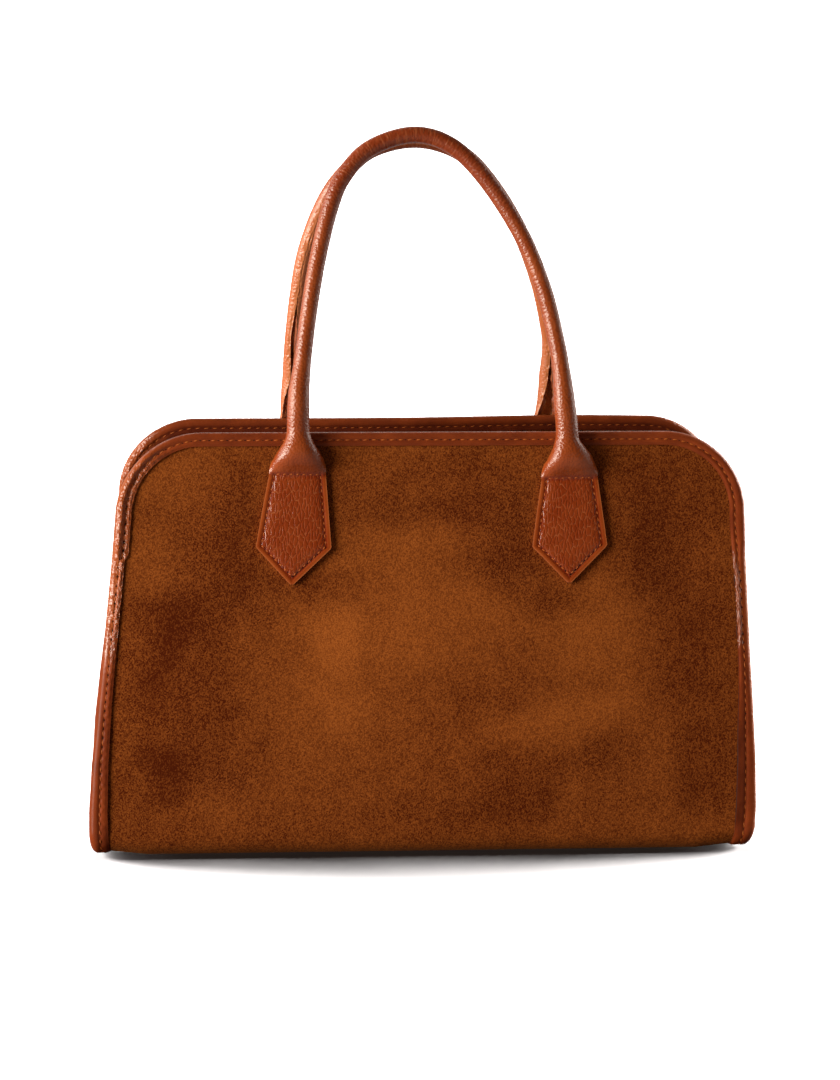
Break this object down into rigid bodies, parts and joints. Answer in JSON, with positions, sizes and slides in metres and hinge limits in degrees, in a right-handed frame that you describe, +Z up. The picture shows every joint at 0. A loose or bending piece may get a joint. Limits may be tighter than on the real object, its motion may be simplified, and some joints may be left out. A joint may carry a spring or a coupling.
{
  "type": "suede handbag",
  "caption": "Soft suede top-handle handbag with rounded top corners, leather edge binding and rolled leather handles on pointed tabs, open at the top.",
  "frame": {"origin": "on the floor, under the middle of the base", "axes": "+X along the bag's width to the right seen from the front, +Y from the front panel to the back panel, +Z up"},
  "size_m": [0.3383, 0.1426, 0.3629],
  "materials": {
    "suede": "brushed nap, matt, tobacco brown",
    "leather": "grained, satin, chestnut brown"
  },
  "bodies": {
    "root": {"body": "suede", "left_gusset": "suede", "right_gusset": "suede", "front_binding": "leather", "back_binding": "leather", "front_handle": "leather", "back_handle": "leather"}
  },
  "joints": []
}
